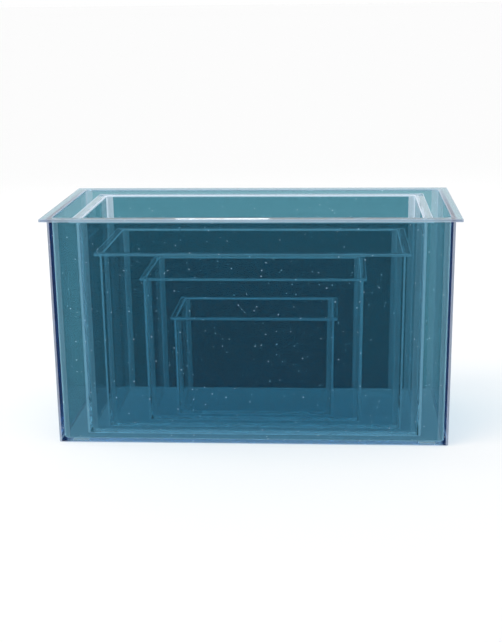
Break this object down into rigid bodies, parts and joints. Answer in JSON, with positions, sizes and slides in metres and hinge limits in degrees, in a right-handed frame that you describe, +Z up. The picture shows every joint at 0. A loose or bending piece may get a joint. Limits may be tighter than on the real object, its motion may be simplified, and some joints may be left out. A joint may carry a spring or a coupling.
{
  "type": "aquarium",
  "caption": "Clear plastic aquarium set: rectangular open-top tanks with outward rims and short feet, standing one inside another.",
  "frame": {"origin": "middle of the largest tank's footprint, on the plane its feet stand on", "axes": "+X along the tanks' length, the long front wall faces -Y, +Z up towards the open tops"},
  "size_m": [0.413, 0.21, 0.232],
  "materials": {
    "clear_plastic": "clear injection-moulded polystyrene, glossy, faint blue-green tint"
  },
  "bodies": {
    "largest": {"largest_tank": "clear_plastic"},
    "large": {"large_tank": "clear_plastic"},
    "medium": {"medium_tank": "clear_plastic"},
    "small": {"small_tank": "clear_plastic"},
    "smallest": {"smallest_tank": "clear_plastic"}
  },
  "joints": [
    {"name": "large_lift", "type": "slide", "parent": "largest", "child": "large", "axis": [0, 0, 1], "range_m": [0, 0.25]},
    {"name": "medium_lift", "type": "slide", "parent": "large", "child": "medium", "axis": [0, 0, 1], "range_m": [0, 0.24]},
    {"name": "small_lift", "type": "slide", "parent": "medium", "child": "small", "axis": [0, 0, 1], "range_m": [0, 0.2]},
    {"name": "smallest_lift", "type": "slide", "parent": "small", "child": "smallest", "axis": [0, 0, 1], "range_m": [0, 0.17]}
  ]
}
